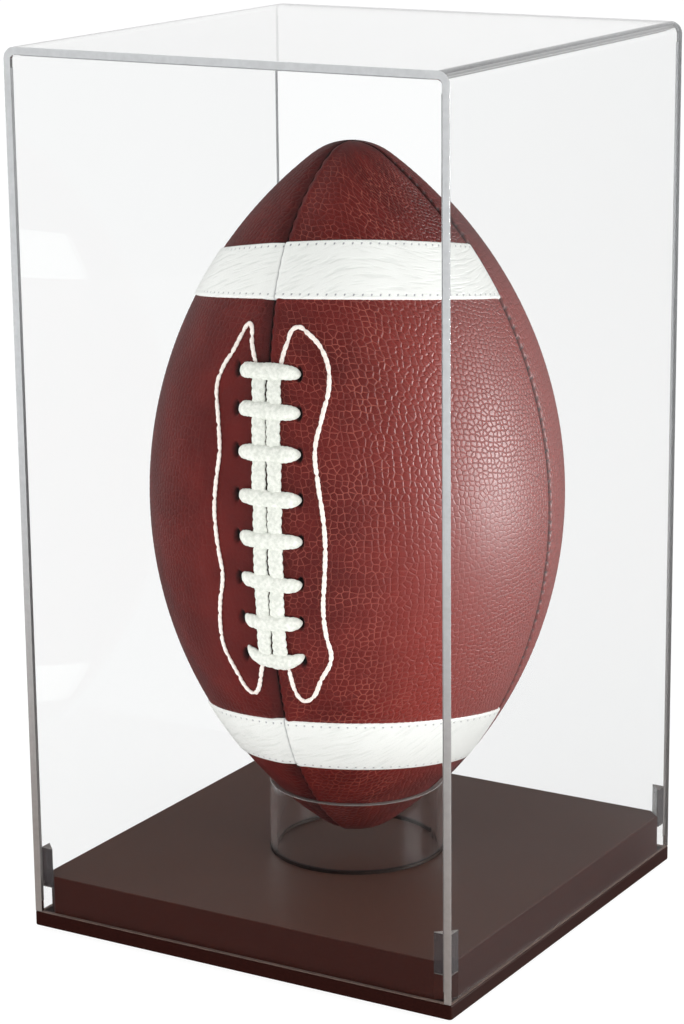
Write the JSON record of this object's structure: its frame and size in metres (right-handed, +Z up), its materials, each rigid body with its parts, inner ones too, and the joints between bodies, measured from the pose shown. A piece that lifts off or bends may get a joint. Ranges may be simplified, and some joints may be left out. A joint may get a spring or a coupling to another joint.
{
  "type": "football display case",
  "caption": "Clear acrylic display case on a two-step dark wooden base, with a clear ring stand holding a laced football upright on its tip.",
  "frame": {"origin": "on the surface that the case stands on, under the middle of its base", "axes": "+Z up, -Y towards the front panel, which the lace side of the ball faces, +X to the right of a viewer in front"},
  "size_m": [0.1956, 0.1956, 0.3615],
  "materials": {
    "plate_finish": "satin",
    "platform_finish": "satin",
    "screw_steel": "satin",
    "foot_rubber": "matte",
    "ring_acrylic": "polished",
    "clear_acrylic": "polished",
    "brown_leather": "satin",
    "white_stripe": "satin",
    "bladder_rubber": "matte",
    "white_lace": "matte",
    "white_thread": "matte"
  },
  "bodies": {
    "base": {"base_plate": "plate_finish", "base_platform": "platform_finish", "platform_screws": "screw_steel", "rubber_feet": "foot_rubber"},
    "cover": {"cover_wrap": "clear_acrylic", "cover_front_panel": "clear_acrylic", "cover_back_panel": "clear_acrylic", "corner_block_front_left": "clear_acrylic", "corner_block_front_right": "clear_acrylic", "corner_block_back_left": "clear_acrylic", "corner_block_back_right": "clear_acrylic"},
    "ring": {"support_ring": "ring_acrylic"},
    "football": {"lace_panel_left": "brown_leather", "lace_panel_right": "brown_leather", "back_panel_left": "brown_leather", "back_panel_right": "brown_leather", "upper_stripe_left": "white_stripe", "upper_stripe_right": "white_stripe", "lower_stripe_left": "white_stripe", "lower_stripe_right": "white_stripe", "bladder": "bladder_rubber", "inflation_valve": "bladder_rubber", "lace_cross_bars": "white_lace", "lace_strips": "white_lace", "lace_thread_left": "white_thread", "lace_thread_right": "white_thread"}
  },
  "joints": [
    {"name": "cover_lift", "type": "slide", "parent": "base", "child": "cover", "axis": [0, 0, 1], "range_m": [0, 0.36]},
    {"name": "ring_turn", "type": "hinge", "parent": "base", "child": "ring", "pos_m": [0, 0, 0.0375], "axis": [0, 0, 1], "continuous": true},
    {"name": "football_lift", "type": "slide", "parent": "ring", "child": "football", "axis": [0, 0, 1], "range_m": [0, 0.03]}
  ]
}
